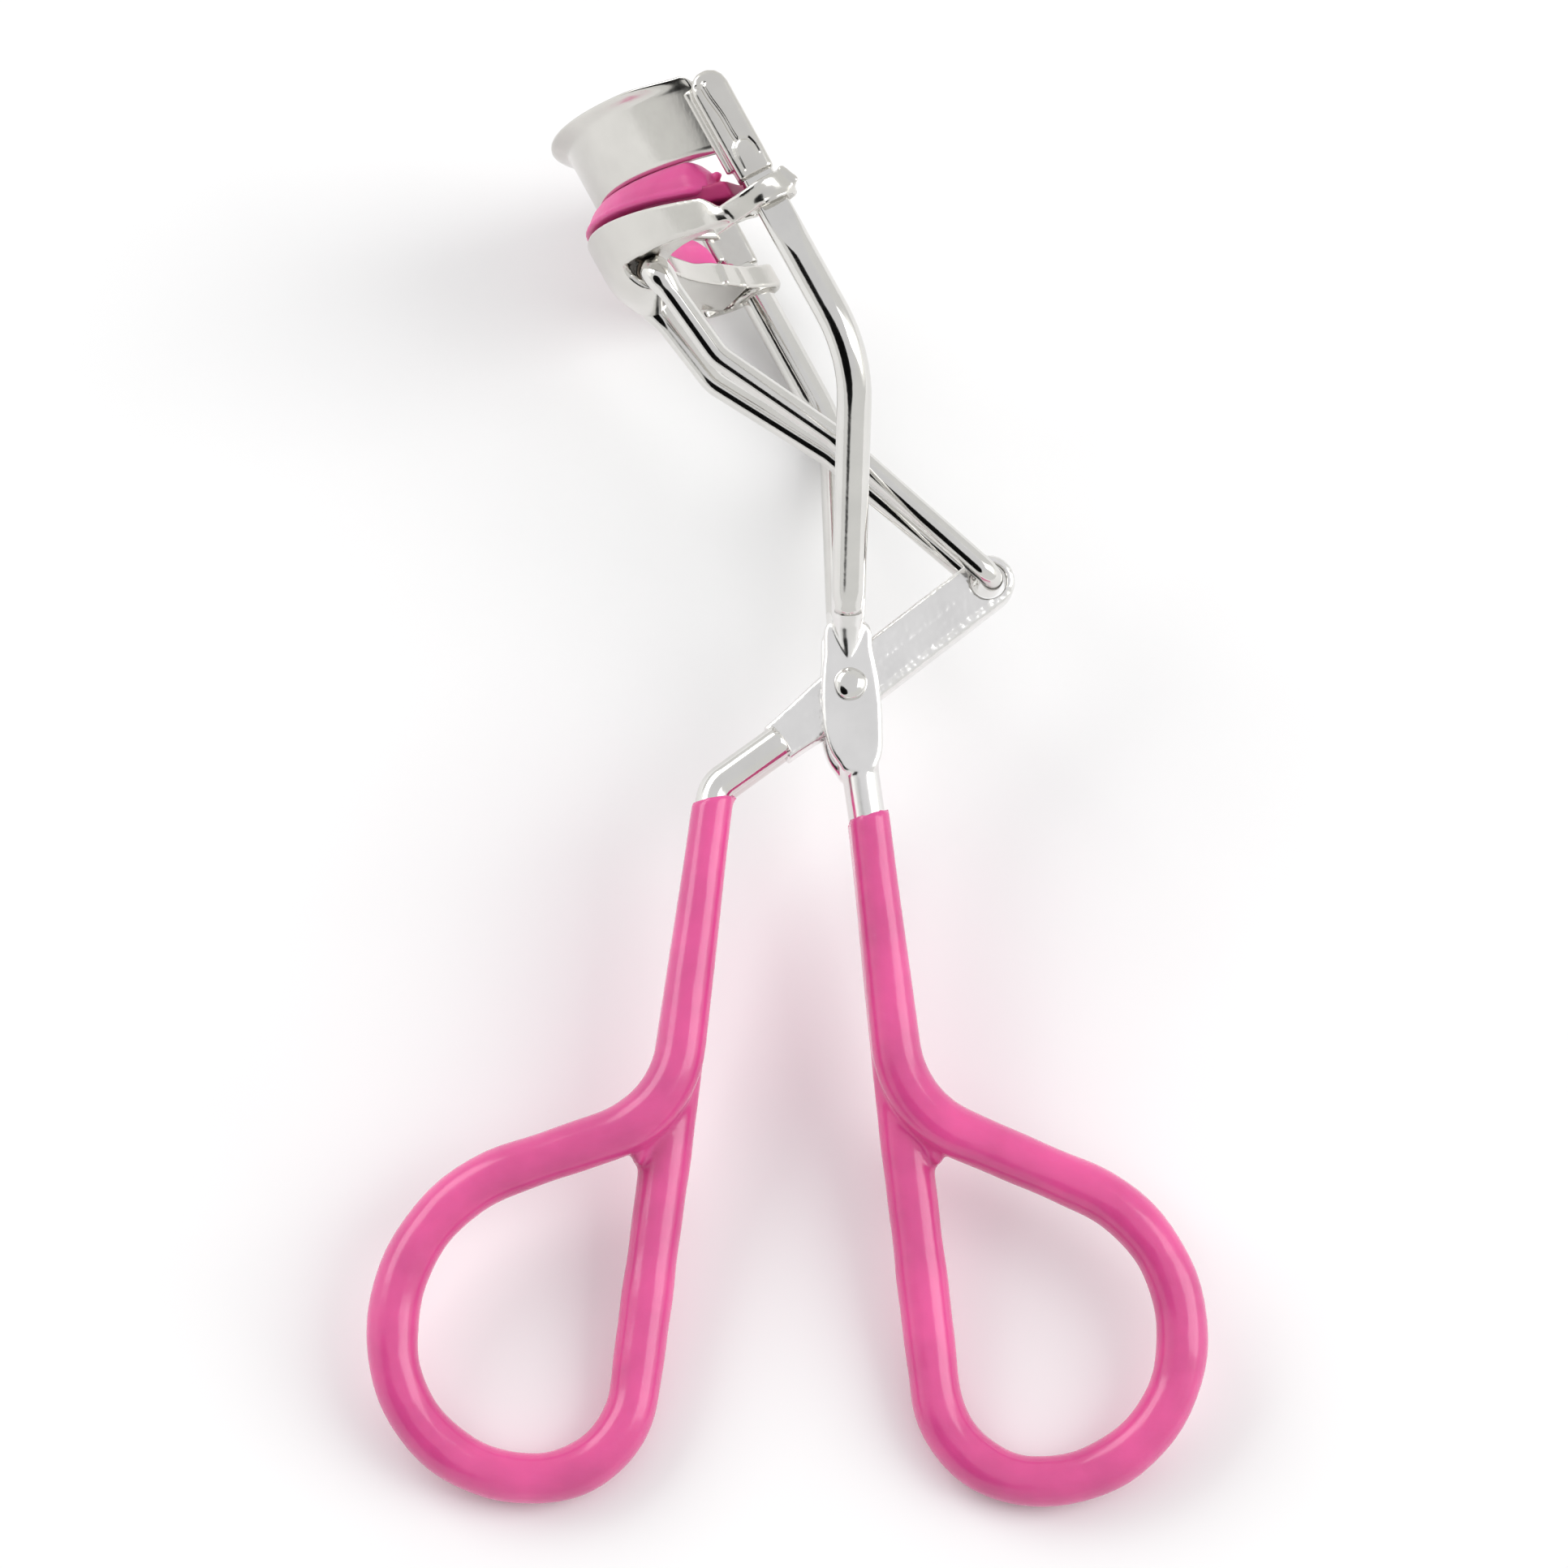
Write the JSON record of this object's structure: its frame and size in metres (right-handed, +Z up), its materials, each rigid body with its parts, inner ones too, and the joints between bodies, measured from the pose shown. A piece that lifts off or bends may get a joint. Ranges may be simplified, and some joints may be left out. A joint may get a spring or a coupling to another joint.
{
  "type": "eyelash curler",
  "caption": "Scissor-handled eyelash curler with finger loops, a fixed curved upper jaw and a padded lower jaw that slides on the frame's rails.",
  "frame": {"origin": "centre of the bounding box's base: the curler lies on its side on a table, on the far rail's bend and both finger loops", "axes": "+Y from the finger loops to the jaws, +X towards the side the lever's nose points to, +Z up from the table; the tool's working plane is tipped 9.5 degrees about X"},
  "size_m": [0.0608, 0.1032, 0.035],
  "materials": {
    "nickel_wire": "bright nickel plate on steel wire",
    "nickel_sheet": "bright nickel plate on stamped steel sheet",
    "pink_vinyl": "glossy dipped vinyl",
    "pink_silicone": "semi-matte silicone"
  },
  "bodies": {
    "frame": {"frame_wire": "nickel_wire", "right_grip": "pink_vinyl", "upper_jaw": "nickel_sheet", "pivot_rivet": "nickel_wire"},
    "lever": {"lever_wire": "nickel_wire", "left_grip": "pink_vinyl"},
    "jaw": {"lower_jaw": "nickel_sheet", "lash_pad": "pink_silicone"},
    "pusher": {"pusher_wire": "nickel_wire"}
  },
  "joints": [
    {"name": "lever_pivot", "type": "hinge", "parent": "frame", "child": "lever", "pos_m": [0.00444, 0.007, 0.01205], "axis": [0, 0.165, -0.9863], "range_deg": [0, 33]},
    {"name": "jaw_slide", "type": "slide", "parent": "frame", "child": "jaw", "axis": [0.4772, -0.8668, -0.145], "range_m": [0, 0.00704]},
    {"name": "pusher_swing", "type": "hinge", "parent": "jaw", "child": "pusher", "pos_m": [-0.01001, 0.03682, 0.01704], "axis": [0, 0.165, -0.9863], "range_deg": [0, 1.52]}
  ],
  "couplings": [
    {"joint": "jaw_slide", "follows": "lever_pivot", "m_per_rad": 0.01222},
    {"joint": "pusher_swing", "follows": "lever_pivot", "ratio": 0.046}
  ]
}
